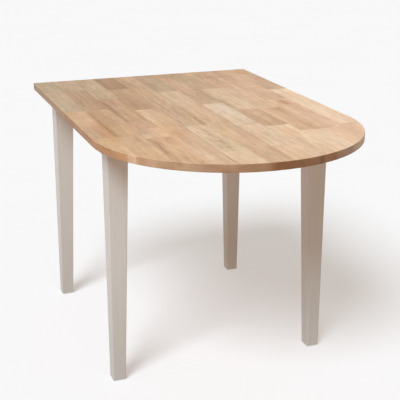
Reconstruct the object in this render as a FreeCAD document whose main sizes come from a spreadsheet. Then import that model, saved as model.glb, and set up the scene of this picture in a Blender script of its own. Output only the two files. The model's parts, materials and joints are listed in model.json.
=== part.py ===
import FreeCAD, Part
import Sketcher
import os

# Drop leaf table. Millimetres, +Z up. The origin is on the floor under the middle of the whole
# table with its leaf up. +X is the table's right, +Y points to its straight rear edge, and the
# half-round leaf is at -Y. Every sub-part is modelled where it sits when the leaf is up.

DIMENSIONS = {
    "table_height": 750.0,
    "table_width": 770.0,
    "fixed_depth": 780.0,        # rear edge to the seam
    "leaf_depth": 370.0,         # seam to the front of the half-round leaf
    "top_thickness": 22.0,
    "seam_gap": 1.0,
    "top_arris": 2.0,
    "leg_side_inset": 49.0,      # side of the top to the outer faces of the legs
    "leg_rear_inset": 48.0,      # rear edge of the top to the rear faces of the rear legs
    "leg_reach": 750.0,          # rear edge of the top to the front faces of the front legs
    "leg_head": 59.0,            # square section beside the rails
    "leg_foot": 38.0,            # square section at the floor
    "leg_arris": 2.5,
    "leg_corner_flat": 12.0,     # flat across the inner corner, behind the hanger bolt
    "glide_radius": 10.0,
    "glide_height": 3.0,
    "nail_radius": 1.0,
    "nail_length": 14.0,
    "rail_depth": 55.0,
    "rail_thickness": 20.0,
    "rail_setback": 6.0,
    "block_height": 40.0,
    "block_thickness": 28.0,
    "block_clearance": 3.0,
    "bolt_radius": 4.0,
    "bolt_play": 0.5,            # bolt to its hole in the corner block
    "bolt_in_leg": 30.0,
    "bolt_tail": 12.0,
    "washer_radius": 10.0,
    "washer_thickness": 1.6,
    "nut_radius": 7.5,           # across the corners
    "nut_height": 6.5,
    "top_screw_radius": 2.25,
    "top_screw_head": 4.5,
    "top_screw_length": 54.0,
    "top_screw_spacing": 60.0,
    "small_screw_radius": 1.75,
    "small_screw_head": 3.5,
    "small_screw_length": 16.0,
    "angle_leg": 26.0,
    "angle_width": 18.0,
    "angle_thickness": 2.0,
    "angle_screw_reach": 15.6,   # bend to the screws
    "hinge_spacing": 230.0,
    "hinge_length": 63.0,
    "hinge_reach": 34.0,
    "hinge_thickness": 2.0,
    "hinge_drop": 4.3,           # underside of the top to the pin's axis
    "knuckle_radius": 4.0,
    "knuckle_gap": 0.3,
    "knuckle_relief": 4.8,
    "knuckle_overlap": 1.0,      # knuckle's tab into the plate
    "hinge_screw_side": 22.0,
    "hinge_screw_near": 15.0,    # pin to the outer screws
    "hinge_screw_far": 26.0,     # pin to the middle screw
    "hinge_pin_radius": 2.0,
    "running_fit": 0.06,
    "prop_spacing": 280.0,
    "prop_axis_height": 652.0,
    "prop_axis_forward": 16.0,   # face of the front rail to the prop's axis
    "prop_angle": 20.0,          # rise of the prop above the horizontal
    "prop_length": 199.4,        # axis to the upper corner of the bevelled end
    "prop_thickness": 16.0,
    "prop_width": 22.0,
    "prop_bevel": 16.0,          # lower side's overhang past the upper corner
    "prop_pin_radius": 3.0,
    "prop_pin_head": 5.0,
    "prop_pin_proud": 2.0,       # pin past the outside of each ear
    "bracket_thickness": 2.0,
    "bracket_ear": 9.0,          # axis to the ear's edges
    "bracket_width": 46.0,
    "bracket_drop": 6.0,         # underside of the top to the plate
    "bracket_play": 0.5,         # arm to each ear
    "bracket_screw_spacing": 32.0,
    "bracket_screw_upper": 16.0,
    "bracket_screw_lower": 40.0,
    "catch_width": 60.0,
    "catch_slope": 25.0,         # fall of the catch's bearing face
    "catch_length": 46.0,
    "catch_height": 9.0,
    "catch_edge": 1.0,
    "catch_clearance": 2.6,      # end of the arm to the start of the catch
    "catch_screw_spacing": 36.0,
    "catch_screw_reach": 29.9,   # end of the arm to the screws
}

doc = FreeCAD.newDocument("drop_leaf_table")
sheet = doc.addObject("Spreadsheet::Sheet", "dims")
for row, (alias, number) in enumerate(DIMENSIONS.items(), start=1):
    sheet.set("A%d" % row, alias)
    sheet.set("B%d" % row, str(number))
    sheet.setAlias("B%d" % row, alias)
doc.recompute()

UNDERSIDE = "(dims.table_height - dims.top_thickness)"
RAIL_BOTTOM = "(%s - dims.rail_depth)" % UNDERSIDE
REAR_EDGE = "((dims.fixed_depth + dims.leaf_depth) / 2)"
SEAM = "(%s - dims.fixed_depth)" % REAR_EDGE
LEG_X = "(dims.table_width / 2 - dims.leg_side_inset)"
LEG_REAR_Y = "(%s - dims.leg_rear_inset)" % REAR_EDGE
LEG_FRONT_Y = "(%s - dims.leg_reach)" % REAR_EDGE
RAIL_FACE_Y = "(%s + dims.rail_setback)" % LEG_FRONT_Y
HINGE_Z = "(%s - dims.hinge_drop)" % UNDERSIDE
PROP_Y = "(%s - dims.prop_axis_forward)" % RAIL_FACE_Y
PROP_X = "(dims.prop_spacing / 2)"

X_AXIS = FreeCAD.Vector(1, 0, 0)
Y_AXIS = FreeCAD.Vector(0, 1, 0)
Z_AXIS = FreeCAD.Vector(0, 0, 1)
UPRIGHT = FreeCAD.Rotation()
ALONG_X = FreeCAD.Rotation(Y_AXIS, 90)
ALONG_Y = FreeCAD.Rotation(X_AXIS, -90)
ALONG_MINUS_Y = FreeCAD.Rotation(X_AXIS, 90)

NEAR = 1.0               # millimetres between things that count as touching
STRAIGHT_SHARE = 0.9     # an edge that rises this share of its length counts as upright
HEXAGON = 6
KNUCKLES = 5

# Shares of a screw's head radius for its cross recess, and of its shank for its blunt tip.
RECESS_LENGTH = 1.1
RECESS_WIDTH = 0.2
RECESS_DEPTH = 0.35
TIP_SHARE = 0.125

nodes = []


def value(expression):
    return float(sheet.evalExpression(str(expression)))


def place(item, where, rotation=UPRIGHT):
    """Turn an object and bind its position to three expressions."""
    item.Placement = FreeCAD.Placement(FreeCAD.Vector(0, 0, 0), rotation)
    for axis, expression in zip("xyz", where):
        item.setExpression("Placement.Base.%s" % axis, str(expression))
    return item


def sized(kind, sizes, where, rotation=UPRIGHT):
    """A Part primitive with its sizes and position bound to the sheet."""
    item = doc.addObject(kind, kind.split("::")[1])
    for name, expression in sizes.items():
        item.setExpression(name, str(expression))
    return place(item, where, rotation)


def box(length, width, height, where, rotation=UPRIGHT):
    return sized("Part::Box", {"Length": length, "Width": width, "Height": height}, where, rotation)


def cylinder(radius, height, where, rotation=UPRIGHT):
    return sized("Part::Cylinder", {"Radius": radius, "Height": height}, where, rotation)


def cone(radius_1, radius_2, height, where, rotation=UPRIGHT):
    sizes = {"Radius1": radius_1, "Radius2": radius_2, "Height": height}
    return sized("Part::Cone", sizes, where, rotation)


def fused(shapes):
    item = doc.addObject("Part::MultiFuse", "fuse")
    item.Shapes = shapes
    return item


def cut(base, tool):
    item = doc.addObject("Part::Cut", "cut")
    item.Base = base
    item.Tool = tool
    return item


def group(shapes):
    item = doc.addObject("Part::Compound", "group")
    item.Links = shapes
    return item


def copies(master, spots):
    """Links to one master piece, each at its own position and rotation."""
    links = []
    for where, rotation in spots:
        link = doc.addObject("App::Link", "copy")
        link.LinkedObject = master
        links.append(place(link, where, rotation))
    return links


def node(item, label):
    item.Label = label
    nodes.append(item)
    return item


def origin_plane(body, role):
    return next(item for item in body.Origin.OriginFeatures if item.Role == role)


def outline(body, name, role, corners):
    """A closed polygon sketch on an origin plane, with each corner bound to two expressions."""
    sketch = body.newObject("Sketcher::SketchObject", name)
    sketch.AttachmentSupport = [(origin_plane(body, role), "")]
    sketch.MapMode = "FlatFace"
    points = [FreeCAD.Vector(value(across), value(up), 0) for across, up in corners]
    count = len(points)
    for index, point in enumerate(points):
        sketch.addGeometry(Part.LineSegment(point, points[(index + 1) % count]), False)
    for index in range(count):
        sketch.addConstraint(Sketcher.Constraint("Coincident", index, 2, (index + 1) % count, 1))
    for index, corner in enumerate(corners):
        for kind, expression in zip(("DistanceX", "DistanceY"), corner):
            number = value(expression)
            datum = sketch.addConstraint(Sketcher.Constraint(kind, -1, 1, index, 1, number))
            sketch.setExpression("Constraints[%d]" % datum, str(expression))
    return sketch


def pad(body, sketch, length, both_ways=False):
    feature = body.newObject("PartDesign::Pad", "pad")
    feature.Profile = sketch
    feature.SideType = "Symmetric" if both_ways else "One side"
    feature.setExpression("Length", str(length))
    return feature


def padded_outline(name, role, corners, length, both_ways=False):
    """A body of one polygon sketch and one pad."""
    body = doc.addObject("PartDesign::Body", name)
    feature = pad(body, outline(body, name + "_outline", role, corners), length, both_ways)
    return body, feature


def eased(item, radius, chosen):
    """Round the chosen edges of a solid."""
    doc.recompute()
    size = value(radius)
    fillet = doc.addObject("Part::Fillet", "eased")
    fillet.Base = item
    edges = enumerate(item.Shape.Edges, start=1)
    fillet.Edges = [(index, size, size) for index, edge in edges if chosen(edge)]
    return fillet


# Screws. A master points along +Z with the face of its countersunk head at its origin. The blank
# has no drive recess and cuts the screw's own hole in the pieces that it holds.

def screw_masters(radius, head, length):
    sink = "(%s - %s)" % (head, radius)
    point = "(2 * %s)" % radius
    blank = fused([
        cone(head, radius, sink, (0, 0, 0)),
        cylinder(radius, "%s - %s - %s" % (length, sink, point), (0, 0, sink)),
        cone(radius, "%s * %s" % (radius, TIP_SHARE), point, (0, 0, "%s - %s" % (length, point))),
    ])
    slot_length = "%s * %s" % (head, RECESS_LENGTH)
    slot_width = "%s * %s" % (head, RECESS_WIDTH)
    slot_depth = "%s * %s" % (head, RECESS_DEPTH)
    recess = fused([
        box(slot_length, slot_width, slot_depth, ("-%s / 2" % slot_length, "-%s / 2" % slot_width, 0)),
        box(slot_width, slot_length, slot_depth, ("-%s / 2" % slot_width, "-%s / 2" % slot_length, 0)),
    ])
    return blank, cut(blank, recess)


def screw_set(masters, spots):
    """The drilled shape and the screws themselves, as two groups at the same spots."""
    blank, screw = masters
    return group(copies(blank, spots)), group(copies(screw, spots))


small_screw = screw_masters("dims.small_screw_radius", "dims.small_screw_head", "dims.small_screw_length")
top_screw = screw_masters("dims.top_screw_radius", "dims.top_screw_head", "dims.top_screw_length")


# The four corners of the base. A corner's own frame has its origin on the floor below the outer
# corner of the leg, and +X and +Y run inwards along the rails.

CORNERS = {
    "front_left": (("-%s" % LEG_X, LEG_FRONT_Y, 0), FreeCAD.Rotation(Z_AXIS, 0)),
    "front_right": ((LEG_X, LEG_FRONT_Y, 0), FreeCAD.Rotation(Z_AXIS, 90)),
    "rear_right": ((LEG_X, LEG_REAR_Y, 0), FreeCAD.Rotation(Z_AXIS, 180)),
    "rear_left": (("-%s" % LEG_X, LEG_REAR_Y, 0), FreeCAD.Rotation(Z_AXIS, 270)),
}
DIAGONAL = FreeCAD.Rotation(Z_AXIS, FreeCAD.Vector(1, 1, 0))
LEG_FLAT = "((2 * dims.leg_head - dims.leg_corner_flat) / sqrt(2))"
BLOCK_OUTER = "(%s + dims.block_clearance)" % LEG_FLAT
BLOCK_INNER = "(%s + dims.block_thickness)" % BLOCK_OUTER
BLOCK_BOTTOM = "(%s - dims.block_height)" % UNDERSIDE
BOLT_Z = "(%s - dims.block_height / 2)" % UNDERSIDE


def on_diagonal(distance, height, sideways="0"):
    """A point of a corner's frame, from its distance along the diagonal and off it."""
    across = "(%s + %s) / sqrt(2)" % (distance, sideways)
    along = "(%s - %s) / sqrt(2)" % (distance, sideways)
    return across, along, height


def at_corners(item):
    return group(copies(item, CORNERS.values()))


def make_bolt(radius):
    start = "(%s - dims.bolt_in_leg)" % LEG_FLAT
    length = "%s + dims.bolt_tail - %s" % (BLOCK_INNER, start)
    return group([cylinder(radius, length, on_diagonal(start, BOLT_Z), DIAGONAL)])


def make_washer():
    spot = on_diagonal(BLOCK_INNER, BOLT_Z)
    disc = cylinder("dims.washer_radius", "dims.washer_thickness", spot, DIAGONAL)
    return cut(disc, bolt)


def make_nut():
    spot = on_diagonal("(%s + dims.washer_thickness)" % BLOCK_INNER, BOLT_Z)
    sizes = {"Polygon": HEXAGON, "Circumradius": "dims.nut_radius", "Height": "dims.nut_height"}
    return cut(sized("Part::Prism", sizes, spot, DIAGONAL), bolt)


def make_glide():
    centre = "dims.leg_foot / 2"
    return fused([
        cylinder("dims.glide_radius", "dims.glide_height", (centre, centre, 0)),
        cylinder("dims.nail_radius", "dims.glide_height + dims.nail_length", (centre, centre, 0)),
    ])


bolt = make_bolt("dims.bolt_radius")
bolt_clearance = make_bolt("dims.bolt_radius + dims.bolt_play")
glide = make_glide()
block_middle = "((%s + %s) / 2)" % (BLOCK_OUTER, BLOCK_INNER)
block_screw_spots = [
    (on_diagonal(block_middle, BLOCK_BOTTOM, side + "dims.top_screw_spacing / 2"), UPRIGHT)
    for side in ("", "-")
]
block_holes, block_screws = screw_set(top_screw, block_screw_spots)


def outer_upright(edge):
    """True for the leg's upright edges, apart from the inner corner behind the rails."""
    start, end = edge.Vertexes[0].Point, edge.Vertexes[-1].Point
    upright = abs(end.z - start.z) > STRAIGHT_SHARE * edge.Length
    return upright and min(start.x, start.y) < NEAR


def make_leg(name):
    """A leg that is plumb on its two outer faces and tapers on its two inner faces."""
    front = [
        ("0", "dims.glide_height"),
        ("dims.leg_foot", "dims.glide_height"),
        ("dims.leg_head", RAIL_BOTTOM),
        ("dims.leg_head", UNDERSIDE),
        ("0", UNDERSIDE),
    ]
    waste = [
        ("dims.leg_foot", "dims.glide_height"),
        ("dims.leg_head", RAIL_BOTTOM),
        ("2 * dims.leg_head", RAIL_BOTTOM),
        ("2 * dims.leg_head", "dims.glide_height"),
    ]
    body, blank = padded_outline(name + "_stock", "XZ_Plane", front, "dims.leg_head")
    blank.Reversed = True
    taper = body.newObject("PartDesign::Pocket", "taper")
    taper.Profile = outline(body, name + "_taper", "YZ_Plane", waste)
    taper.Type = "ThroughAll"
    taper.SideType = "Symmetric"
    flat = box("dims.leg_corner_flat * sqrt(2)", "dims.leg_corner_flat", "dims.rail_depth",
               ("dims.leg_head - dims.leg_corner_flat", "dims.leg_head", RAIL_BOTTOM),
               FreeCAD.Rotation(Z_AXIS, -45))
    shaped = eased(body, "dims.leg_arris", outer_upright)
    where, rotation = CORNERS[name.replace("leg_", "")]
    return node(place(cut(shaped, fused([flat, bolt, glide])), where, rotation), name)


def make_corner_block(name):
    rail_inside = "(dims.rail_setback + dims.rail_thickness)"
    outer = "(%s * sqrt(2) - %s)" % (BLOCK_OUTER, rail_inside)
    inner = "(%s * sqrt(2) - %s)" % (BLOCK_INNER, rail_inside)
    plan = [(rail_inside, outer), (outer, rail_inside), (inner, rail_inside), (rail_inside, inner)]
    body, _ = padded_outline(name + "_stock", "XY_Plane", plan, "dims.block_height")
    body.setExpression("Placement.Base.z", BLOCK_BOTTOM)
    where, rotation = CORNERS[name.replace("corner_block_", "")]
    return node(place(cut(body, fused([bolt_clearance, block_holes])), where, rotation), name)


for corner in CORNERS:
    make_leg("leg_" + corner)
    make_corner_block("corner_block_" + corner)

node(at_corners(bolt), "hanger_bolts")
node(at_corners(make_washer()), "hanger_washers")
node(at_corners(make_nut()), "hanger_nuts")
node(at_corners(glide), "foot_glides")
top_screw_holes = at_corners(block_holes)
node(at_corners(block_screws), "top_screws")


# Angle brackets hold the top to the middle of each rail. In a bracket's own frame the rail is at
# -Y, the underside of the top is at z = 0 and the origin is on the rail's inner face.

REAR_RAIL_Y = "(%s - dims.rail_setback)" % LEG_REAR_Y
SIDE_RAIL_X = "(%s - dims.rail_setback)" % LEG_X
MIDDLE_Y = "((%s + %s) / 2)" % (LEG_FRONT_Y, LEG_REAR_Y)
RAIL_MIDDLES = [
    ((0, "%s + dims.rail_thickness" % RAIL_FACE_Y, UNDERSIDE), FreeCAD.Rotation(Z_AXIS, 0)),
    ((0, "%s - dims.rail_thickness" % REAR_RAIL_Y, UNDERSIDE), FreeCAD.Rotation(Z_AXIS, 180)),
    (("dims.rail_thickness - %s" % SIDE_RAIL_X, MIDDLE_Y, UNDERSIDE), FreeCAD.Rotation(Z_AXIS, -90)),
    (("%s - dims.rail_thickness" % SIDE_RAIL_X, MIDDLE_Y, UNDERSIDE), FreeCAD.Rotation(Z_AXIS, 90)),
]


def make_angle():
    """One bent bracket with its two screw holes, its two screws and their holes in the wood."""
    thick = "dims.angle_thickness"
    profile = [
        ("0", "0"),
        ("dims.angle_leg", "0"),
        ("dims.angle_leg", "-" + thick),
        (thick, "-" + thick),
        (thick, "-dims.angle_leg"),
        ("0", "-dims.angle_leg"),
    ]
    body, _ = padded_outline("angle", "YZ_Plane", profile, "dims.angle_width", True)
    holes, screws = screw_set(small_screw, [
        ((0, "dims.angle_screw_reach", "-" + thick), UPRIGHT),
        ((0, thick, "-dims.angle_screw_reach"), ALONG_MINUS_Y),
    ])
    return cut(body, holes), holes, screws


angle, angle_holes, angle_screws = make_angle()
node(group(copies(angle, RAIL_MIDDLES)), "top_angle_brackets")
node(group(copies(angle_screws, RAIL_MIDDLES)), "top_angle_screws")
rail_screw_holes = group(copies(angle_holes, RAIL_MIDDLES))


# Folding props. In a prop's own frame the origin is on the axis of its pin.

PROPS = {
    "left": ("-%s" % PROP_X, PROP_Y, "dims.prop_axis_height"),
    "right": (PROP_X, PROP_Y, "dims.prop_axis_height"),
}
TO_UNDERSIDE = "(%s - dims.prop_axis_height)" % UNDERSIDE
TO_RAIL = "dims.prop_axis_forward"
EAR_INSIDE = "(dims.prop_width / 2 + dims.bracket_play)"


def along_x_pin(radius, length):
    return cylinder(radius, length, ("-(%s) / 2" % length, 0, 0), ALONG_X)


def make_prop_pin():
    length = "2 * (%s + dims.bracket_thickness + dims.prop_pin_proud)" % EAR_INSIDE
    head = cylinder("dims.prop_pin_head", "dims.bracket_thickness", ("(%s) / 2" % length, 0, 0), ALONG_X)
    return along_x_pin("dims.prop_pin_radius", length), head


def bracket_ear(side):
    """One ear of the prop bracket, round about the pin and joined to the back plate."""
    left = EAR_INSIDE if side > 0 else "-%s - dims.bracket_thickness" % EAR_INSIDE
    ear = "dims.bracket_ear"
    thick = "dims.bracket_thickness"
    return [
        cylinder(ear, thick, (left, 0, 0), ALONG_X),
        box(thick, TO_RAIL, "2 * " + ear, (left, 0, "-" + ear)),
    ]


def make_bracket(holes):
    thick = "dims.bracket_thickness"
    width = "dims.bracket_width"
    below = "dims.bracket_ear"
    plate = box(width, thick, "%s + %s - dims.bracket_drop" % (TO_UNDERSIDE, below),
                ("-%s / 2" % width, "%s - %s" % (TO_RAIL, thick), "-" + below))
    whole = fused([plate] + bracket_ear(-1) + bracket_ear(1))
    pin_hole = along_x_pin("dims.prop_pin_radius", "dims.bracket_width")
    return cut(whole, fused([pin_hole, holes]))


def make_arm(name, where):
    """A round-ended arm with a bevelled upper end. It is drawn level, pointing to -Y."""
    half = "dims.prop_thickness / 2"
    profile = [
        ("0", half),
        ("-dims.prop_length", half),
        ("-dims.prop_length - dims.prop_bevel", "-" + half),
        ("0", "-" + half),
    ]
    body, _ = padded_outline(name + "_stock", "YZ_Plane", profile, "dims.prop_width", True)
    knuckle = along_x_pin(half, "dims.prop_width")
    pin_hole = along_x_pin("dims.prop_pin_radius + dims.running_fit", "2 * dims.prop_width")
    rise = FreeCAD.Rotation(X_AXIS, -value("dims.prop_angle"))
    return node(place(cut(fused([body, knuckle]), pin_hole), where, rise), name)


def prop_end():
    """Where the arm's upper corner meets the leaf, from the prop's axis along -Y."""
    half = "dims.prop_thickness / 2"
    rise = "(dims.prop_angle * 1 deg)"
    return "(dims.prop_length * cos(%s) - %s * sin(%s))" % (rise, half, rise)


def make_catch(name, holes, where):
    """A wedge-shaped cleat under the leaf. Its sloping face takes the arm's bevelled end."""
    start = "(%s + dims.catch_clearance)" % prop_end()
    slope = "tan(dims.catch_slope * 1 deg)"
    top = TO_UNDERSIDE
    profile = [
        ("-" + start, top),
        ("-%s - dims.catch_length" % start, top),
        ("-%s - dims.catch_length" % start, "%s - dims.catch_height" % top),
        ("-%s - (dims.catch_height - dims.catch_edge) / %s" % (start, slope),
         "%s - dims.catch_height" % top),
        ("-" + start, "%s - dims.catch_edge" % top),
    ]
    body, _ = padded_outline(name + "_stock", "YZ_Plane", profile, "dims.catch_width", True)
    return node(place(cut(body, holes), where), name)


bracket_screw_spots = [
    ((side + "dims.bracket_screw_spacing / 2", "%s - dims.bracket_thickness" % TO_RAIL,
      "%s - %s" % (TO_UNDERSIDE, drop)), ALONG_Y)
    for side in ("", "-") for drop in ("dims.bracket_screw_upper", "dims.bracket_screw_lower")
]
catch_screw_spots = [
    ((side + "dims.catch_screw_spacing / 2", "-%s - dims.catch_screw_reach" % prop_end(),
      "%s - dims.catch_height" % TO_UNDERSIDE), UPRIGHT)
    for side in ("", "-")
]
bracket_holes, bracket_screws = screw_set(small_screw, bracket_screw_spots)
catch_holes, catch_screws = screw_set(small_screw, catch_screw_spots)
prop_spots = [(where, UPRIGHT) for where in PROPS.values()]

for side, where in PROPS.items():
    make_arm("prop_arm_" + side, where)
    node(place(make_bracket(bracket_holes), where), "prop_bracket_" + side)
    node(place(fused(list(make_prop_pin())), where), "prop_pin_" + side)
    make_catch("prop_catch_" + side, catch_holes, where)

node(group(copies(bracket_screws, prop_spots)), "prop_bracket_screws")
node(group(copies(catch_screws, prop_spots)), "prop_catch_screws")
rail_bracket_holes = group(copies(bracket_holes, prop_spots))
leaf_catch_holes = group(copies(catch_holes, prop_spots))


# Rails, between the legs and flush with their heads.

def make_rail(name, length, width, where):
    stock = box(length, width, "dims.rail_depth", where)
    holes = [rail_screw_holes, rail_bracket_holes] if name == "rail_front" else [rail_screw_holes]
    return node(cut(stock, group(holes)), name)


def make_rails():
    across_length = "2 * (%s - dims.leg_head)" % LEG_X
    along_length = "%s - %s - 2 * dims.leg_head" % (LEG_REAR_Y, LEG_FRONT_Y)
    across_x = "dims.leg_head - %s" % LEG_X
    along_y = "%s + dims.leg_head" % LEG_FRONT_Y
    thick = "dims.rail_thickness"
    rear_y = "%s - %s" % (REAR_RAIL_Y, thick)
    right_x = "%s - %s" % (SIDE_RAIL_X, thick)
    make_rail("rail_front", across_length, thick, (across_x, RAIL_FACE_Y, RAIL_BOTTOM))
    make_rail("rail_rear", across_length, thick, (across_x, rear_y, RAIL_BOTTOM))
    make_rail("rail_left", thick, along_length, ("-%s" % SIDE_RAIL_X, along_y, RAIL_BOTTOM))
    make_rail("rail_right", thick, along_length, (right_x, along_y, RAIL_BOTTOM))


make_rails()


# Hinges. In a hinge's own frame the origin is on the pin's axis, in the middle of its length.
# Five knuckles share the pin: three belong to the fixed plate and two to the leaf's plate.

HINGES = {
    "left": ("-dims.hinge_spacing", SEAM, HINGE_Z),
    "middle": ("0", SEAM, HINGE_Z),
    "right": ("dims.hinge_spacing", SEAM, HINGE_Z),
}
PITCH = "(dims.hinge_length / %d)" % KNUCKLES


def plate_screw_spots(side):
    below = "dims.hinge_drop - dims.hinge_thickness"
    spots = [
        ("-dims.hinge_screw_side", "dims.hinge_screw_near"),
        ("0", "dims.hinge_screw_far"),
        ("dims.hinge_screw_side", "dims.hinge_screw_near"),
    ]
    return [((x, "%d * %s" % (side, reach), below), UPRIGHT) for x, reach in spots]


def make_hinge_plate(side, holes, bore):
    """One plate, on the +Y side (side 1) or the -Y side (side -1) of the pin."""
    level = "dims.hinge_drop - dims.hinge_thickness"
    inner = "dims.knuckle_relief" if side > 0 else "-dims.hinge_reach"
    plate = box("dims.hinge_length", "dims.hinge_reach - dims.knuckle_relief", "dims.hinge_thickness",
                ("-dims.hinge_length / 2", inner, level))
    tab_reach = "(dims.knuckle_relief + dims.knuckle_overlap)"
    shapes = [plate]
    for index in range(0 if side > 0 else 1, KNUCKLES, 2):
        start = "%d * %s + dims.knuckle_gap / 2 - dims.hinge_length / 2" % (index, PITCH)
        length = "%s - dims.knuckle_gap" % PITCH
        tab_y = "0" if side > 0 else "-%s" % tab_reach
        shapes.append(cylinder("dims.knuckle_radius", length, (start, 0, 0), ALONG_X))
        shapes.append(box(length, tab_reach, "dims.hinge_thickness", (start, tab_y, level)))
    pin_hole = along_x_pin(bore, "2 * dims.hinge_length")
    return cut(fused(shapes), fused([pin_hole, holes]))


fixed_holes, fixed_screws = screw_set(small_screw, plate_screw_spots(1))
moving_holes, moving_screws = screw_set(small_screw, plate_screw_spots(-1))
hinge_spots = [(where, UPRIGHT) for where in HINGES.values()]

for side, where in HINGES.items():
    fixed_plate = make_hinge_plate(1, fixed_holes, "dims.hinge_pin_radius")
    leaf_plate = make_hinge_plate(-1, moving_holes, "dims.hinge_pin_radius + dims.running_fit")
    hinge_pin = group([along_x_pin("dims.hinge_pin_radius", "dims.hinge_length")])
    node(place(fixed_plate, where), "hinge_fixed_plate_" + side)
    node(place(leaf_plate, where), "hinge_leaf_plate_" + side)
    node(place(hinge_pin, where), "hinge_pin_" + side)

node(group(copies(fixed_screws, hinge_spots)), "hinge_fixed_screws")
node(group(copies(moving_screws, hinge_spots)), "hinge_leaf_screws")
top_hinge_holes = group(copies(fixed_holes, hinge_spots))
leaf_hinge_holes = group(copies(moving_holes, hinge_spots))


# The top in two boards: a rectangle on the base and a half-ellipse that hangs from the seam.

def clear_of_seam(edge):
    """True for an edge that isn't one of the seam's."""
    bounds = edge.BoundBox
    reach = max(abs(bounds.YMin - value(SEAM)), abs(bounds.YMax - value(SEAM)))
    return reach > NEAR


def make_fixed_top():
    board = box("dims.table_width", "dims.fixed_depth - dims.seam_gap / 2", "dims.top_thickness",
                ("-dims.table_width / 2", "%s + dims.seam_gap / 2" % SEAM, UNDERSIDE))
    holes = group([top_screw_holes, rail_screw_holes, top_hinge_holes])
    return node(cut(eased(board, "dims.top_arris", clear_of_seam), holes), "fixed_top")


def make_drop_leaf():
    rim = sized("Part::Ellipse", {"MajorRadius": "dims.table_width / 2", "MinorRadius": "dims.leaf_depth"},
                (0, SEAM, UNDERSIDE))
    slab = doc.addObject("Part::Extrusion", "slab")
    slab.Base = rim
    slab.DirMode = "Custom"
    slab.Dir = Z_AXIS
    slab.Solid = True
    slab.setExpression("LengthFwd", "dims.top_thickness")
    rear_half = box("2 * dims.table_width", "2 * dims.leaf_depth", "2 * dims.top_thickness",
                    ("-dims.table_width", "%s - dims.seam_gap / 2" % SEAM, "%s - dims.top_arris" % UNDERSIDE))
    leaf = eased(cut(slab, rear_half), "dims.top_arris", clear_of_seam)
    return node(cut(leaf, group([leaf_hinge_holes, leaf_catch_holes])), "drop_leaf")


make_fixed_top()
make_drop_leaf()
doc.recompute()


# Checks, then one file for each node.

for item in doc.Objects:
    if "Invalid" in item.State or "Error" in item.State:
        raise RuntimeError("%s (%s) failed: %s" % (item.Name, item.Label, item.State))

os.makedirs("parts", exist_ok=True)
for item in nodes:
    if item.Shape.isNull() or not item.Shape.isValid() or not item.Shape.Solids:
        raise RuntimeError("%s has no valid solid" % item.Label)
for item in nodes:
    item.Shape.exportStep("parts/%s.step" % item.Label)
    print("%-26s %3d solids %12.1f mm3" % (item.Label, len(item.Shape.Solids), item.Shape.Volume))
print("%d nodes" % len(nodes))
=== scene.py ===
import json
import math

import bmesh
import bpy
from mathutils import Euler, Matrix, Vector


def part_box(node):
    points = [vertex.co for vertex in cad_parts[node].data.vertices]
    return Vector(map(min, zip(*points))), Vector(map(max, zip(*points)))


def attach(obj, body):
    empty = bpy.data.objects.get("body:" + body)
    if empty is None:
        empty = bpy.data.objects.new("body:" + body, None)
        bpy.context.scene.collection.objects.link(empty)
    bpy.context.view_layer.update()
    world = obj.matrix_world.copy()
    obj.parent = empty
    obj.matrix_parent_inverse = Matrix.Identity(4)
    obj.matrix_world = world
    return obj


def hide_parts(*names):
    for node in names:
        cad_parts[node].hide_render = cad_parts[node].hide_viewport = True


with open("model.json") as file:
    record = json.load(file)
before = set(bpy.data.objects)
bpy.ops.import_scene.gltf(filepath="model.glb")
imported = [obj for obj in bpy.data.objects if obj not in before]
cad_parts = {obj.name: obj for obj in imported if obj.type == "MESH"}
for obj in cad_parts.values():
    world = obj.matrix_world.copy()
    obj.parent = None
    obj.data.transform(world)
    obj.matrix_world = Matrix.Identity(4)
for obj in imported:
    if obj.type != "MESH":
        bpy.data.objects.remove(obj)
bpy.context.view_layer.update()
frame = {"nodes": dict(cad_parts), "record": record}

# A drop leaf table in metres. +Z is up, +Y points to the straight rear edge and the leaf is at -Y.

# ---------------------------------------------------------------- sizes from the frame

TOP_LOW, TOP_HIGH = (Vector(corner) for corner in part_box("fixed_top"))
LEAF_LOW, LEAF_HIGH = (Vector(corner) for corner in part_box("drop_leaf"))
WIDTH = TOP_HIGH.x - TOP_LOW.x
REAR_Y = TOP_HIGH.y
SEAM_Y = (TOP_LOW.y + LEAF_HIGH.y) / 2
FRONT_Y = LEAF_LOW.y
BOTTOM_Z, TOP_Z = TOP_LOW.z, TOP_HIGH.z

# ---------------------------------------------------------------- shader nodes

# The ranges that spread() takes most noises from.
SOFT = (0.3, 0.7)
CRISP = (0.35, 0.65)


def linear(red, green, blue):
    """A linear colour with alpha, from sRGB values between 0 and 255."""
    def channel(number):
        number /= 255
        return number / 12.92 if number <= 0.04045 else ((number + 0.055) / 1.055) ** 2.4
    return channel(red), channel(green), channel(blue), 1.0


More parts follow.
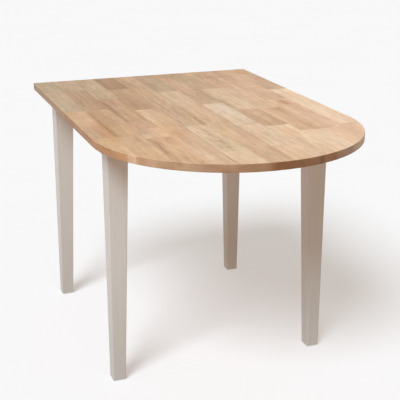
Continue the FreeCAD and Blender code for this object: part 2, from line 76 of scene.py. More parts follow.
class Graph:
    """A tree of shader nodes. Most methods add nodes and return the socket that is used next."""

    def __init__(self, tree):
        self.tree = tree
        coordinates = self.add("ShaderNodeTexCoord", {})
        self.point = coordinates.outputs["Object"]
        self.normal = coordinates.outputs["Normal"]
        self.direction = coordinates.outputs["Generated"]

    def feed(self, socket, value):
        """Links a socket to another one, or sets its value."""
        if isinstance(value, bpy.types.NodeSocket):
            self.tree.links.new(value, socket)
        else:
            socket.default_value = value

    def add(self, kind, inputs, **settings):
        node = self.tree.nodes.new(kind)
        for name, setting in settings.items():
            setattr(node, name, setting)
        for name, value in inputs.items():
            self.feed(node.inputs[name], value)
        return node

    def math(self, operation, first, second=0.0, third=0.0):
        return self.add("ShaderNodeMath", {0: first, 1: second, 2: third}, operation=operation).outputs[0]

    def sway(self, value, layer, depth):
        """The value, moved up and down by a layer that is one half where it changes nothing."""
        return self.math("MULTIPLY_ADD", self.math("SUBTRACT", layer, 0.5), depth, value)

    def fade(self, factor, first, second):
        """The first value where the factor is 0, and the second where it is 1."""
        return self.math("MULTIPLY_ADD", factor, self.math("SUBTRACT", second, first), first)

    def gap(self, first, second):
        """How far apart two values are."""
        return self.math("ABSOLUTE", self.math("SUBTRACT", first, second))

    def squares(self, first, second):
        """The sum of the squares of two values."""
        return self.math("MULTIPLY_ADD", first, first, self.math("POWER", second, 2.0))

    def axes(self, vector):
        return self.add("ShaderNodeSeparateXYZ", {0: vector}).outputs

    def vector(self, x, y, z):
        return self.add("ShaderNodeCombineXYZ", {0: x, 1: y, 2: z}).outputs[0]

    def scaled(self, vector, factors):
        return self.add("ShaderNodeVectorMath", {0: vector, 1: factors}, operation="MULTIPLY").outputs[0]

    def noise(self, vector, scale=1.0, detail=2.0, distortion=0.0):
        inputs = {"Vector": vector, "Scale": scale, "Detail": detail, "Distortion": distortion}
        return self.add("ShaderNodeTexNoise", inputs).outputs[0]

    def random(self, vector):
        return self.add("ShaderNodeTexWhiteNoise", {"Vector": vector}).outputs["Color"]

    def spread(self, value, low, high, new_low=0.0, new_high=1.0):
        """Takes the range from low to high softly to the new one, and holds it outside."""
        inputs = {"Value": value, "From Min": low, "From Max": high, "To Min": new_low, "To Max": new_high}
        return self.add("ShaderNodeMapRange", inputs, interpolation_type="SMOOTHSTEP").outputs[0]

    def mix(self, factor, first, second, blend="MIX", clamp=True):
        inputs = {0: factor, 6: first, 7: second}
        settings = {"data_type": "RGBA", "blend_type": blend, "clamp_factor": clamp}
        return self.add("ShaderNodeMix", inputs, **settings).outputs[2]


class MaterialGraph(Graph):
    """The nodes of a new material."""

    def __init__(self, name):
        self.material = bpy.data.materials.new(name)
        self.material.use_nodes = True
        super().__init__(self.material.node_tree)
        self.shader = self.tree.nodes["Principled BSDF"]

    def finish(self, colour, roughness, height=None, depth=0.0):
        """Feeds the shader and returns the material. The depth is how far a height of 1 rises."""
        self.feed(self.shader.inputs["Base Color"], colour)
        self.feed(self.shader.inputs["Roughness"], roughness)
        if height is not None:
            inputs = {"Height": height, "Distance": depth, "Strength": 1.0}
            self.feed(self.shader.inputs["Normal"], self.add("ShaderNodeBump", inputs).outputs[0])
        return self.material


# ---------------------------------------------------------------- camera and lights

CAMERA_PLACE = (-0.976, -2.576, 1.394)
CAMERA_YAW = 20.75
CAMERA_PITCH = 18.54
CAMERA_ROLL = 0.21
CAMERA_LENS = 85.2
SENSOR_WIDTH = 36


def make_camera():
    """Yaw turns from +Y toward +X and pitch down from level, in degrees. The lens is in millimetres."""
    camera = bpy.data.objects.new("camera", bpy.data.cameras.new("camera"))
    camera.data.lens = CAMERA_LENS
    camera.data.sensor_width = SENSOR_WIDTH
    aim = Euler((math.radians(90 - CAMERA_PITCH), 0, math.radians(-CAMERA_YAW))).to_matrix()
    turn = aim @ Matrix.Rotation(math.radians(CAMERA_ROLL), 3, "Z")
    camera.matrix_world = Matrix.LocRotScale(Vector(CAMERA_PLACE), turn, None)
    bpy.context.collection.objects.link(camera)
    bpy.context.scene.camera = camera


def make_key_light(azimuth, elevation, softness, strength, colour):
    """A distant softbox. Azimuth turns from -Y toward -X, and all angles are in degrees."""
    light = bpy.data.lights.new("key", "SUN")
    light.angle = math.radians(softness)
    light.energy = strength
    light.color = colour
    item = bpy.data.objects.new("key", light)
    item.rotation_euler = (math.radians(90 - elevation), 0, math.radians(-azimuth))
    bpy.context.collection.objects.link(item)


# Where the world's colour starts to change and where it has changed, as the sine of the elevation.
SKY_CHANGE = (0.0, 0.22)
GROUND_CHANGE = (-0.03, -0.12)


def make_world(sky, horizon, ground):
    """Three soft colours of light: from above, from the level where the floor ends, and from below."""
    world = bpy.data.worlds.new("studio")
    world.use_nodes = True
    graph = Graph(world.node_tree)
    height = graph.axes(graph.direction)[2]
    upper = graph.mix(graph.spread(height, *SKY_CHANGE), horizon, sky)
    colour = graph.mix(graph.spread(height, *GROUND_CHANGE), upper, ground)
    graph.feed(graph.tree.nodes["Background"].inputs["Color"], colour)
    bpy.context.scene.world = world


# ---------------------------------------------------------------- the staves of the butcher block

# Each column of staves, from the left, as (end, brightness, paleness, figure). The end is how far from
# the rear edge the stave reaches, in millimetres, and the others are percentages. Besides each stave's
# own tone, the brightness holds a painted shade that darkens the staves towards the rear and the left.
STAVES = (
    ((175, 76, 112, 45), (460, 79, 95, 15), (785, 81, 38, 35), (966, 86, 28, 30), (1150, 90, 90, 20)),
    ((175, 77, 85, 45), (460, 74, 33, 55), (785, 79, 15, 60), (1150, 83, 18, 30)),
    ((330, 78, 70, 20), (630, 76, 15, 90), (720, 79, 15, 40), (830, 86, 58, 20), (1150, 83, 12, 95)),
    ((195, 68, 15, 35), (500, 76, 25, 30), (1025, 86, 52, 25), (1150, 86, 52, 40)),
    ((735, 80, 46, 85), (1020, 88, 80, 100), (1150, 90, 78, 30)),
    ((280, 75, 62, 58), (495, 83, 76, 20), (1150, 84, 44, 55)),
    ((495, 79, 48, 72), (780, 86, 90, 40), (1010, 90, 88, 60), (1150, 88, 60, 30)),
    ((285, 79, 48, 75), (605, 86, 68, 90), (810, 81, 28, 80), (1150, 91, 84, 40)),
    ((130, 79, 24, 40), (280, 85, 32, 60), (610, 88, 58, 40), (885, 83, 26, 70), (1150, 93, 84, 20)),
    ((500, 83, 44, 45), (580, 88, 48, 40), (885, 89, 46, 50), (1150, 90, 62, 30)),
    ((365, 82, 58, 35), (855, 95, 86, 40), (1150, 93, 62, 50)),
)
STAVE_WIDTH = 0.071
MIDDLE_X = -0.0025
# The numbers of the joint between two staves of a column, and half the joint's width.
JOINT = (0.60, 0.2, 0.0, 1.0)
JOINT_REACH = 0.0003
# The joints are finger joints, so they zigzag down the edges of the board: by FINGER_REACH over one
# pitch, and back over the next.
FINGER_PITCH = 0.005
FINGER_REACH = 0.004
# Each stave's grain leans by up to half of GRAIN_LEAN, and starts at its own place within GRAIN_SHIFT.
GRAIN_LEAN = 0.03
GRAIN_SHIFT = (7.0, 9.0)


def share(percentages):
    """Three percentages as a colour with alpha."""
    return tuple(number / 100 for number in percentages) + (1.0,)


class BlockGraph(MaterialGraph):
    """The nodes of the butcher block, with the place of a point among the staves.

    distance is measured from the rear edge. place and column count stave widths from the left. seed is
    three random numbers for each stave, and across and along follow the stave's own grain.
    """

    def __init__(self):
        super().__init__("butcher_block")
        self.x, self.y, self.z = self.axes(self.point)
        cycle = self.math("DIVIDE", self.math("SUBTRACT", TOP_Z, self.z), FINGER_PITCH)
        finger = self.math("MULTIPLY", self.math("PINGPONG", cycle, 1.0), FINGER_REACH)
        self.distance = self.math("ADD", self.math("SUBTRACT", REAR_Y, self.y), finger)
        from_middle = self.math("DIVIDE", self.math("SUBTRACT", self.x, MIDDLE_X), STAVE_WIDTH)
        self.place = self.math("ADD", from_middle, len(STAVES) / 2)
        self.column = self.math("FLOOR", self.place)
        self.brightness, self.paleness, self.figure = self.axes(self.stave_numbers())
        self.seed = self.axes(self.random(self.vector(self.column, self.figure, 0.0)))
        lean = self.math("MULTIPLY", self.math("SUBTRACT", self.seed[2], 0.5), GRAIN_LEAN)
        leaning = self.math("MULTIPLY_ADD", self.y, lean, self.x)
        self.across = self.math("ADD", leaning, self.math("MULTIPLY", self.seed[0], GRAIN_SHIFT[0]))
        self.along = self.math("ADD", self.y, self.math("MULTIPLY", self.seed[1], GRAIN_SHIFT[1]))

    def stave_numbers(self):
        """The brightness, paleness and figure of the stave at a point."""
        numbers = None
        for number, staves in enumerate(STAVES):
            own = share(staves[0][1:])
            for stave, following in zip(staves, staves[1:]):
                end = stave[0] / 1000
                own = self.mix(self.math("GREATER_THAN", self.distance, end), own, share(following[1:]))
                own = self.mix(self.math("COMPARE", self.distance, end, JOINT_REACH), own, JOINT)
            if number == 0:
                numbers = own
            else:
                numbers = self.mix(self.math("GREATER_THAN", self.column, number - 0.5), numbers, own)
        return numbers

    def grain(self, scales, **settings):
        """A noise that is stretched along the grain. The scales are across the stave and along it."""
        across, along = scales
        stretched = self.vector(self.math("MULTIPLY", self.across, across),
                                self.math("MULTIPLY", self.along, along),
                                self.math("MULTIPLY", self.z, across))
        return self.noise(stretched, **settings)

    def oval(self, x, distance, half_width, half_length):
        """The square of the reach from an oval's middle, which is 1 on its outline."""
        across = self.math("DIVIDE", self.math("SUBTRACT", self.x, x), half_width)
        along = self.math("DIVIDE", self.math("SUBTRACT", self.distance, distance), half_length)
        return self.squares(across, along)


# ---------------------------------------------------------------- marks in the wood

# Arched or round growth rings, as (column, distance from the rear edge, half width, half length, depth).
# The columns count from 0 at the left.
RING_CENTRES = (
    (8, 0.20, 0.022, 0.100, 0.07), (9, 0.545, 0.018, 0.045, 0.09), (4, 0.93, 0.015, 0.080, 0.05),
)
# The rings are a wave, in radians for a step of reach, which the wobble of the grain bends and a power
# sharpens. The wood is darker by RING_SHADE of the depth, and on a ring by RING_STRENGTH more.
RING_TURNS = 14.0
RING_WOBBLE = 9.0
RING_SHARPNESS = 3.0
RING_STRENGTH = 1.1
RING_SHADE = 0.35
# The reach at which the darkening starts, and the one from which it is whole.
RING_FADE = (1.5, 0.3)


def ring_pattern(block, wobble):
    """How much the ring centres darken a point."""
    total = 0.0
    for number, distance, half_width, half_length, depth in RING_CENTRES:
        middle = MIDDLE_X + (number + 0.5 - len(STAVES) / 2) * STAVE_WIDTH
        reach = block.math("SQRT", block.oval(middle, distance, half_width, half_length))
        turns = block.math("MULTIPLY_ADD", reach, RING_TURNS, block.math("MULTIPLY", wobble, RING_WOBBLE))
        wave = block.math("MULTIPLY_ADD", block.math("SINE", turns), 0.5, 0.5)
        rings = block.math("POWER", wave, RING_SHARPNESS)
        near = block.spread(reach, *RING_FADE, 0.0, depth)
        inside = block.math("COMPARE", block.column, number, 0.5)
        amount = block.math("MULTIPLY", block.math("MULTIPLY_ADD", rings, RING_STRENGTH, RING_SHADE), near)
        total = block.math("MULTIPLY_ADD", amount, inside, total)
    return total


# Long dark streaks, as (x, start, end, half width, depth), in metres. The ends are from the rear edge.
STREAKS = (
    (-0.242, 0.34, 0.70, 0.0020, 0.24), (-0.324, 0.47, 0.78, 0.0130, 0.06),
    (-0.106, 0.50, 0.72, 0.0018, 0.10), (0.110, 0.34, 0.62, 0.0020, 0.12),
    (-0.240, 0.84, 1.00, 0.0060, 0.10), (-0.113, 1.02, 1.12, 0.0030, 0.12),
    (-0.038, 0.26, 0.50, 0.0018, 0.10), (-0.052, 0.60, 0.77, 0.0050, 0.08),
)
STREAK_BEND_SCALE = (4.0, 14.0, 0.0)
STREAK_BEND = 0.010
# A streak has its full depth within this part of its half width, and its ends fade out between these
# parts of its length, from its middle.
STREAK_CORE = 0.2
STREAK_ENDS = (0.5, 0.3)


def streak_pattern(block):
    """How much the dark streaks darken a point."""
    total = 0.0
    bent = block.sway(block.x, block.noise(block.scaled(block.point, STREAK_BEND_SCALE)), STREAK_BEND)
    for x, start, end, half_width, depth in STREAKS:
        line = block.spread(block.gap(bent, x), half_width, half_width * STREAK_CORE, 0.0, depth)
        low, high = ((end - start) * part for part in STREAK_ENDS)
        fade = block.spread(block.gap(block.distance, (start + end) / 2), low, high)
        total = block.math("MULTIPLY_ADD", line, fade, total)
    return total


# Soft stains, as (x, distance from the rear edge, half width, half length, brightness, paleness).
STAINS = (
    (-0.331, 0.71, 0.028, 0.150, -0.03, -0.60), (-0.160, 0.78, 0.050, 0.130, 0.01, -0.35),
    (0.086, 0.62, 0.020, 0.180, 0.04, 0.35), (0.145, 0.89, 0.026, 0.060, -0.01, -0.50),
    (0.345, 0.06, 0.035, 0.060, -0.02, -0.70), (0.215, 0.19, 0.013, 0.080, 0.03, 0.10),
    (0.290, 0.55, 0.022, 0.035, -0.04, -0.60),
)
# The square of the reach at which a stain starts, and the one at which it is whole.
STAIN_FADE = (1.2, 0.0)


def stain_pattern(block):
    """How much the stains change the brightness and the paleness of a point."""
    brightness, paleness = 0.0, 0.0
    for x, distance, half_width, half_length, change, pale in STAINS:
        amount = block.spread(block.oval(x, distance, half_width, half_length), *STAIN_FADE)
        brightness = block.math("MULTIPLY_ADD", amount, change, brightness)
        paleness = block.math("MULTIPLY_ADD", amount, pale, paleness)
    return brightness, paleness


# ---------------------------------------------------------------- the sawn ends of the staves

# The end grain on the curved edge, an entry for each column from the left, as (brightness, paleness) in
# percentages. Besides the end grain's own tone they hold painted shade, darkest and warmest on the middle
# columns, and the high paleness of the two right-hand columns is a painted reflection and shade that greys
# them. Neighbours blend over END_BLEND of a stave's width.
END_GRAIN_AND_SHADE = (
    (79, -38), (68, 20), (65, 10), (63, -20), (62, -10), (52, -125),
    (51, -90), (55, -105), (60, 53), (73, 125), (74, 120),
)
END_BLEND = 0.5
# Short marks on the curved edge, as (x, half width, brightness, paleness).
END_MARKS = ((-0.331, 0.0075, 0.055, 1.3), (0.116, 0.006, -0.07, 0.0))
# The brightness and paleness of the rear edge and of the two edges at the seam, with the margin that
# takes in the leaf's one.
STRAIGHT_BRIGHTNESS = 0.70
STRAIGHT_PALENESS = 0.0
SEAM_MARGIN = 0.003
# The growth rings turn round a pith, which has its own place for each stave. It is given as (start,
# span), from the top face and from one side of the stave.
PITH_HEIGHT = (-0.09, 0.16)
PITH_SIDE = (-0.05, 0.1)
# Radians of the rings' wave for a metre, and for a whole step of the noise that bends it.
ARC_FREQUENCY = 1500.0
ARC_WOBBLE = 12.0
# How much each layer of the end grain moves the brightness, and how that moves the paleness.
ARC_DEPTH = 0.05
SPECK_DEPTH = 0.42
BLOTCH_DEPTH = 0.12
END_PALENESS = 4.0


def end_tones(block):
    """The brightness and paleness of the ends of the staves, with their painted shade, before their rings
    and pores.
    """
    tone, paleness = (number / 100 for number in END_GRAIN_AND_SHADE[0])
    for border, (before, after) in enumerate(zip(END_GRAIN_AND_SHADE, END_GRAIN_AND_SHADE[1:]), 1):
        beyond = block.spread(block.place, border - END_BLEND / 2, border + END_BLEND / 2)
        tone = block.math("MULTIPLY_ADD", beyond, (after[0] - before[0]) / 100, tone)
        paleness = block.math("MULTIPLY_ADD", beyond, (after[1] - before[1]) / 100, paleness)
    for x, half_width, change, pale in END_MARKS:
        inside = block.math("COMPARE", block.x, x, half_width)
        tone = block.math("MULTIPLY_ADD", inside, change, tone)
        paleness = block.math("MULTIPLY_ADD", inside, pale, paleness)
    straight = block.math("GREATER_THAN", block.y, SEAM_Y - SEAM_MARGIN)
    tone = block.fade(straight, tone, STRAIGHT_BRIGHTNESS)
    return tone, block.fade(straight, paleness, STRAIGHT_PALENESS)


def end_grain(block):
    """The brightness and paleness of the ends of the staves, with growth rings and pores."""
    tone, paleness = end_tones(block)
    pith_z = block.math("MULTIPLY_ADD", block.seed[0], PITH_HEIGHT[1], TOP_Z + PITH_HEIGHT[0])
    pith_x = block.math("MULTIPLY_ADD", block.seed[1], PITH_SIDE[1], PITH_SIDE[0])
    # A whole metre more keeps the remainder positive.
    cell = block.math("MODULO", block.math("ADD", block.x, 1.0), STAVE_WIDTH)
    aside = block.math("SUBTRACT", cell, pith_x)
    above = block.math("SUBTRACT", block.z, pith_z)
    reach = block.math("SQRT", block.squares(aside, above))
    bend = block.math("MULTIPLY", block.noise(block.point, scale=45.0), ARC_WOBBLE)
    arcs = block.math("SINE", block.math("MULTIPLY_ADD", reach, ARC_FREQUENCY, bend))
    specks = block.noise(block.point, scale=900.0)
    blotch = block.spread(block.noise(block.point, scale=21.0, detail=3.0), *SOFT)
    level = block.math("MULTIPLY_ADD", arcs, ARC_DEPTH, 1.0)
    level = block.sway(level, specks, SPECK_DEPTH)
    level = block.sway(level, blotch, BLOTCH_DEPTH)
    paleness = block.math("MULTIPLY_ADD", block.math("SUBTRACT", level, 1.0), END_PALENESS, paleness)
    return block.math("MULTIPLY", tone, level), paleness


# ---------------------------------------------------------------- the butcher block

# The scales of the layers of the grain, across the stave and along it.
WOBBLE_SCALES = (12, 3)
SWIRL_SCALES = (13, 1.9)
CLOUD_SCALES = (15, 4)
MOTTLE_SCALES = (60, 22)
BAND_SCALES = (60, 3)
LINE_SCALES = (190, 7)
FIBRE_SCALES = (400, 12)
PORE_SCALES = (1500, 60)
BLUSH_SCALES = (14, 4)
FIBRE_RANGE = (0.25, 0.75)
PORE_RANGE = (0.60, 0.74)
# How much each layer moves the brightness. A stave's figure sets it for the bands and the latewood.
CLOUD_DEPTH = 0.07
SLOPE_DEPTH = 0.11
MOTTLE_DEPTH = 0.12
FIGURE_DEPTH = 0.065
LEAST_FIGURE = 0.01
LINE_DEPTH = 0.03
FIBRE_DEPTH = 0.045
PORE_DEPTH = -0.10
# The rings of latewood in the swirls, how narrow they are, and the value that changes nothing.
LATEWOOD_RINGS = 13.0
LATEWOOD_SHARPNESS = 2.5
LATEWOOD_MIDDLE = 0.25
# The line of glue between two columns. Its reach is a part of a stave's width.
GLUE_DEPTH = -0.14
GLUE_REACH = 0.0045
# The size of the normal's Z over which the painted shade on the sides comes in, and of its Y for the end
# grain.
SIDE_SHADE_RANGE = (0.85, 0.35)
SIDE_SHADE_DEPTH = 0.21
END_RANGE = (0.25, 0.70)
# The paleness blends these two hues, which are parts of the brightness.
WARM_HUE = (1.031, 0.822, 0.643, 1.0)
PALE_HUE = (1.031, 0.898, 0.757, 1.0)
# How much the brightness, the wobble of the grain and the painted shade on the sides move the paleness.
LEVEL_PALENESS = 2.2
WOBBLE_PALENESS = 0.7
SIDE_SHADE_PALENESS = -3.5
# Pinker in patches, and a little cooler towards the right.
BLUSH_GREEN = -0.009
BLUSH_BLUE = 0.006
COOL_SLOPE = 0.035
TONE_GAMMA = 2.2


def grain_level(block, wobble, fibre, pores):
    """The brightness of a point as a part of its stave's."""
    swirl = block.grain(SWIRL_SCALES, distortion=0.5)
    rings = block.math("FRACT", block.math("MULTIPLY", swirl, LATEWOOD_RINGS))
    latewood = block.math("POWER", rings, LATEWOOD_SHARPNESS)
    cloud = block.spread(block.grain(CLOUD_SCALES), *SOFT)
    band = block.spread(block.grain(BAND_SCALES, distortion=0.6), *SOFT)
    line = block.spread(block.grain(LINE_SCALES, detail=1.0), *CRISP)
    figure = block.math("MULTIPLY_ADD", block.figure, FIGURE_DEPTH, LEAST_FIGURE)
    from_left = block.math("FRACT", block.place)
    slope = block.math("MULTIPLY", block.math("SUBTRACT", from_left, 0.5),
                       block.math("SUBTRACT", block.seed[1], 0.5))

    level = block.sway(1.0, cloud, CLOUD_DEPTH)
    level = block.math("MULTIPLY_ADD", slope, SLOPE_DEPTH, level)
    level = block.sway(level, block.grain(MOTTLE_SCALES), MOTTLE_DEPTH)
    level = block.sway(level, band, figure)
    level = block.math("MULTIPLY_ADD", block.math("SUBTRACT", LATEWOOD_MIDDLE, latewood), figure, level)
    level = block.sway(level, line, LINE_DEPTH)
    level = block.sway(level, fibre, FIBRE_DEPTH)
    level = block.math("MULTIPLY_ADD", pores, PORE_DEPTH, level)
    level = block.math("SUBTRACT", level, ring_pattern(block, wobble))
    level = block.math("SUBTRACT", level, streak_pattern(block))
    glue = block.math("GREATER_THAN", block.gap(from_left, 0.5), 0.5 - GLUE_REACH)
    return block.math("MULTIPLY_ADD", glue, GLUE_DEPTH, level)


def wood_colour(block, brightness, paleness):
    hue = block.mix(paleness, WARM_HUE, PALE_HUE, clamp=False)
    blush = block.spread(block.grain(BLUSH_SCALES), *SOFT, -1.0, 1.0)
    cool = block.math("MULTIPLY_ADD", block.x, COOL_SLOPE, 1.0)
    green = block.math("MULTIPLY", brightness, block.math("MULTIPLY_ADD", blush, BLUSH_GREEN, 1.0))
    blue = block.math("MULTIPLY", brightness, block.math("MULTIPLY_ADD", blush, BLUSH_BLUE, cool))
    toned = block.mix(1.0, hue, block.vector(brightness, green, blue), "MULTIPLY")
    return block.add("ShaderNodeGamma", {"Color": toned, "Gamma": TONE_GAMMA}).outputs[0]


def make_butcher_block():
    block = BlockGraph()
    wobble = block.grain(WOBBLE_SCALES, detail=1.0)
    fibre = block.spread(block.grain(FIBRE_SCALES, detail=3.0), *FIBRE_RANGE)
    pores = block.spread(block.grain(PORE_SCALES, detail=1.0), *PORE_RANGE)
    stain, stain_paleness = stain_pattern(block)
    level = block.math("ADD", grain_level(block, wobble, fibre, pores), stain)

    # A painted shade makes the sides a little darker than the faces, and the sawn ends of the staves are
    # much darker.
    normal = block.axes(block.normal)
    # side is the painted shade on the sides.
    side = block.spread(block.math("ABSOLUTE", normal[2]), *SIDE_SHADE_RANGE, 0.0, SIDE_SHADE_DEPTH)
    facing = block.spread(block.math("ABSOLUTE", normal[1]), *END_RANGE)
    rim, rim_paleness = end_grain(block)
    face = block.math("MULTIPLY", block.brightness, level)
    face = block.math("MULTIPLY", face, block.math("SUBTRACT", 1.0, side))
    brightness = block.fade(facing, face, rim)

    # Darker grain is warmer.
    darker = block.math("SUBTRACT", level, 1.0)
    paleness = block.math("MULTIPLY_ADD", darker, LEVEL_PALENESS, block.paleness)
    paleness = block.sway(paleness, wobble, WOBBLE_PALENESS)
    paleness = block.math("ADD", paleness, stain_paleness)
    # The painted shade on the sides also makes them warmer.
    paleness = block.math("MULTIPLY_ADD", side, SIDE_SHADE_PALENESS, paleness)
    paleness = block.fade(facing, paleness, rim_paleness)

    block.shader.inputs["Specular IOR Level"].default_value = 0.3
    return block.finish(wood_colour(block, brightness, paleness),
                        roughness=block.fade(fibre, 0.46, 0.58),
                        height=block.math("SUBTRACT", fibre, pores), depth=0.00006)


# ---------------------------------------------------------------- other materials

# The scales of the wood's grain under the paint, across it and along it.
PAINT_ACROSS = 220.0
PAINT_ALONG = 7.0
BRUSH_RELIEF = 0.4
# Painted shade: the paint darkens towards the floor below this height, down to this part of its colour.
FOOT_SHADE_HEIGHT = 0.45
FOOT_SHADE = 0.85
RAW_WOOD_SCALES = (60.0, 60.0, 900.0)


def make_paint(name, grain_axis):
    """Satin paint over wood. The wood's grain runs along one axis and shows faintly through it."""
    graph = MaterialGraph(name)
    scales = [PAINT_ACROSS] * 3
    scales[grain_axis] = PAINT_ALONG
    stretched = graph.scaled(graph.point, scales)
    grain = graph.spread(graph.noise(stretched, detail=3.0), *SOFT)
    patches = graph.noise(graph.point, scale=9.0)
    brush = graph.noise(stretched, scale=3.0, detail=1.0)
    unshaded = graph.mix(graph.fade(0.5, grain, patches), linear(200, 199, 192), linear(208, 207, 200))
    # Painted shade that darkens the paint towards the floor.
    foot_shade = graph.spread(graph.axes(graph.point)[2], 0.0, FOOT_SHADE_HEIGHT, FOOT_SHADE, 1.0)
    return graph.finish(graph.mix(1.0, unshaded, graph.vector(foot_shade, foot_shade, foot_shade), "MULTIPLY"),
                        roughness=graph.fade(patches, 0.32, 0.48),
                        height=graph.math("MULTIPLY_ADD", brush, BRUSH_RELIEF, grain), depth=0.00005)


def make_raw_wood():
    graph = MaterialGraph("raw_wood")
    grain = graph.spread(graph.noise(graph.scaled(graph.point, RAW_WOOD_SCALES), detail=3.0), *SOFT)
    patches = graph.noise(graph.point, scale=25.0)
    colour = graph.mix(graph.fade(0.4, grain, patches), linear(178, 140, 101), linear(214, 180, 140))
    return graph.finish(colour, roughness=graph.fade(grain, 0.62, 0.72), height=grain, depth=0.0001)


def make_zinc():
    graph = MaterialGraph("zinc_steel")
    spangle = graph.spread(graph.noise(graph.point, scale=420.0, detail=3.0), *CRISP)
    cloud = graph.noise(graph.point, scale=60.0)
    graph.shader.inputs["Metallic"].default_value = 1.0
    return graph.finish(graph.mix(cloud, linear(176, 180, 186), linear(203, 203, 197)),
                        roughness=graph.fade(spangle, 0.26, 0.42), height=spangle, depth=0.00001)


def make_nylon():
    graph = MaterialGraph("nylon")
    speckle = graph.noise(graph.point, scale=700.0)
    return graph.finish(graph.mix(speckle, linear(52, 48, 45), linear(66, 61, 57)),
                        roughness=graph.fade(speckle, 0.45, 0.60), height=speckle, depth=0.00002)


def make_floor_material():
    """A pale studio floor, lit a little from within so that shadows stay light."""
    graph = MaterialGraph("pale_floor")
    cloud = graph.noise(graph.point, scale=1.5)
    graph.shader.inputs["Specular IOR Level"].default_value = 0.1
    graph.shader.inputs["Emission Color"].default_value = (1.0, 1.0, 1.0, 1.0)
    graph.shader.inputs["Emission Strength"].default_value = 0.36
    return graph.finish(graph.mix(cloud, linear(203, 202, 201), linear(206, 205, 204)), roughness=0.85)


# ---------------------------------------------------------------- floor

FLOOR_SIZE = 120
FLOOR_CELLS = 4


def make_floor():
    """The floor shows shadows. The table takes its light from below from the world, not from the floor."""
    bpy.ops.mesh.primitive_grid_add(x_subdivisions=FLOOR_CELLS, y_subdivisions=FLOOR_CELLS, size=FLOOR_SIZE)
    floor = bpy.context.object
    floor.name = "floor"
    floor.data.materials.append(make_floor_material())
    floor.visible_diffuse = False
    floor.visible_shadow = False


# ---------------------------------------------------------------- the two boards

# The rims have a small round arris. A narrow flat band inside it keeps its smooth shading off the faces.
ARRIS = 0.002
ARRIS_STEPS = 6
CAP_MARGIN = 0.001
# Edges that turn by more degrees than this are shaded sharp.
SMOOTH_ANGLE = 40
SEAM_HALF_GAP = 0.0002
# The rear corners, and the least radius that the arris leaves of them.
CORNER_RADIUS = 0.003
LEAST_RADIUS = 0.0004
CORNER_STEPS = 5
LEAF_STEPS = 240


def profile_rings():
    """The board's edge from its lower face to its upper one, as (inset, height, seam inset)."""
    angles = [math.pi / 2 * step / ARRIS_STEPS for step in range(ARRIS_STEPS + 1)]
    arris = [(ARRIS * (1 - math.sin(angle)), ARRIS * (1 - math.cos(angle))) for angle in angles]
    rings = [(ARRIS + CAP_MARGIN, BOTTOM_Z, CAP_MARGIN)]
    rings += [(inset, BOTTOM_Z + lift, 0.0) for inset, lift in arris]
    rings += [(inset, TOP_Z - lift, 0.0) for inset, lift in reversed(arris)]
    rings.append((ARRIS + CAP_MARGIN, TOP_Z, CAP_MARGIN))
    return rings


def board_mesh(name, outline):
    """A board from a function that gives its plan for an inset of the rim and of the seam."""
    mesh = bmesh.new()
    loops = []
    for inset, height, seam_inset in profile_rings():
        loops.append([mesh.verts.new((x, y, height)) for x, y in outline(inset, seam_inset)])
    count = len(loops[0])
    for lower, upper in zip(loops, loops[1:]):
        for index in range(count):
            after = (index + 1) % count
            mesh.faces.new((lower[index], lower[after], upper[after], upper[index]))
    mesh.faces.new(list(reversed(loops[0])))
    mesh.faces.new(loops[-1])
    bmesh.ops.recalc_face_normals(mesh, faces=mesh.faces)
    data = bpy.data.meshes.new(name)
    mesh.to_mesh(data)
    mesh.free()
    data.shade_smooth()
    data.set_sharp_from_angle(angle=math.radians(SMOOTH_ANGLE))
    return data


def fixed_outline(inset, seam_inset):
    """The rectangle from the seam round the two rear corners."""
    side = WIDTH / 2 - inset
    rear = REAR_Y - inset
    radius = max(CORNER_RADIUS - inset, LEAST_RADIUS)
    front = SEAM_Y + SEAM_HALF_GAP + seam_inset
    points = [(side, front)]
    for turn in (0, 1):
        centre_x = (side - radius) * (1 - 2 * turn)
        for step in range(CORNER_STEPS + 1):
            angle = math.pi / 2 * (turn + step / CORNER_STEPS)
            points.append((centre_x + radius * math.cos(angle), rear - radius + radius * math.sin(angle)))
    points.append((-side, front))
    return points


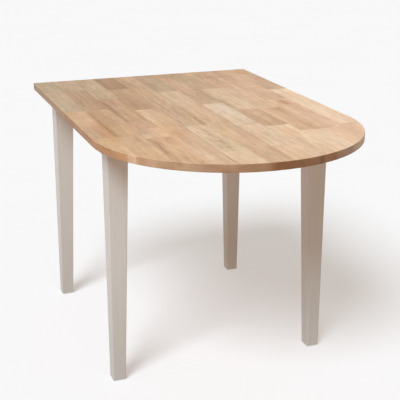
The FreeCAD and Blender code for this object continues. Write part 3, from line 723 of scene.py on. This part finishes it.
def leaf_outline(inset, seam_inset):
    """Half an ellipse in front of the seam."""
    half_width, depth = WIDTH / 2, SEAM_Y - FRONT_Y
    edge = SEAM_Y - SEAM_HALF_GAP - seam_inset
    points = []
    for step in range(LEAF_STEPS + 1):
        angle = math.pi + math.pi * step / LEAF_STEPS
        normal = Vector((math.cos(angle) / half_width, math.sin(angle) / depth)).normalized()
        x = half_width * math.cos(angle) - inset * normal.x
        y = SEAM_Y + depth * math.sin(angle) - inset * normal.y
        points.append((x, min(y, edge)))
    return points


def make_board(name, node, body, outline, material):
    """A board in place of a CAD node, on the body that carries it."""
    board = bpy.data.objects.new(name, board_mesh(name, outline))
    board.data.materials.append(material)
    bpy.context.collection.objects.link(board)
    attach(board, body)
    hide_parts(node)


def dress_nodes(materials):
    """Gives every CAD node that stays visible its finish, by its own name or by its material slot."""
    slots = {row["node"]: row["material_slot"] for row in frame["record"]["subparts"]}
    for name, item in frame["nodes"].items():
        finish = materials.get(name) or materials.get(slots[name])
        if finish:
            item.data.materials.clear()
            item.data.materials.append(finish)


# ---------------------------------------------------------------- the scene

make_camera()
bpy.context.scene.view_settings.view_transform = "Standard"
make_world(sky=(0.39, 0.33, 0.275, 1.0), horizon=(0.94, 0.94, 0.94, 1.0), ground=(0.59, 0.365, 0.26, 1.0))
make_key_light(azimuth=47, elevation=47, softness=26, strength=2.75, colour=(0.89, 1.0, 1.11))
make_floor()

butcher_block = make_butcher_block()
make_board("fixed_board", "fixed_top", "base", fixed_outline, butcher_block)
make_board("leaf_board", "drop_leaf", "leaf", leaf_outline, butcher_block)

paint_upright = make_paint("paint_upright", grain_axis=2)
paint_across = make_paint("paint_across", grain_axis=0)
paint_along = make_paint("paint_along", grain_axis=1)
dress_nodes({
    "painted_wood": paint_upright,
    "rail_front": paint_across,
    "rail_rear": paint_across,
    "rail_left": paint_along,
    "rail_right": paint_along,
    "prop_arm_left": paint_along,
    "prop_arm_right": paint_along,
    "raw_wood": make_raw_wood(),
    "zinc_steel": make_zinc(),
    "glide_plastic": make_nylon(),
})
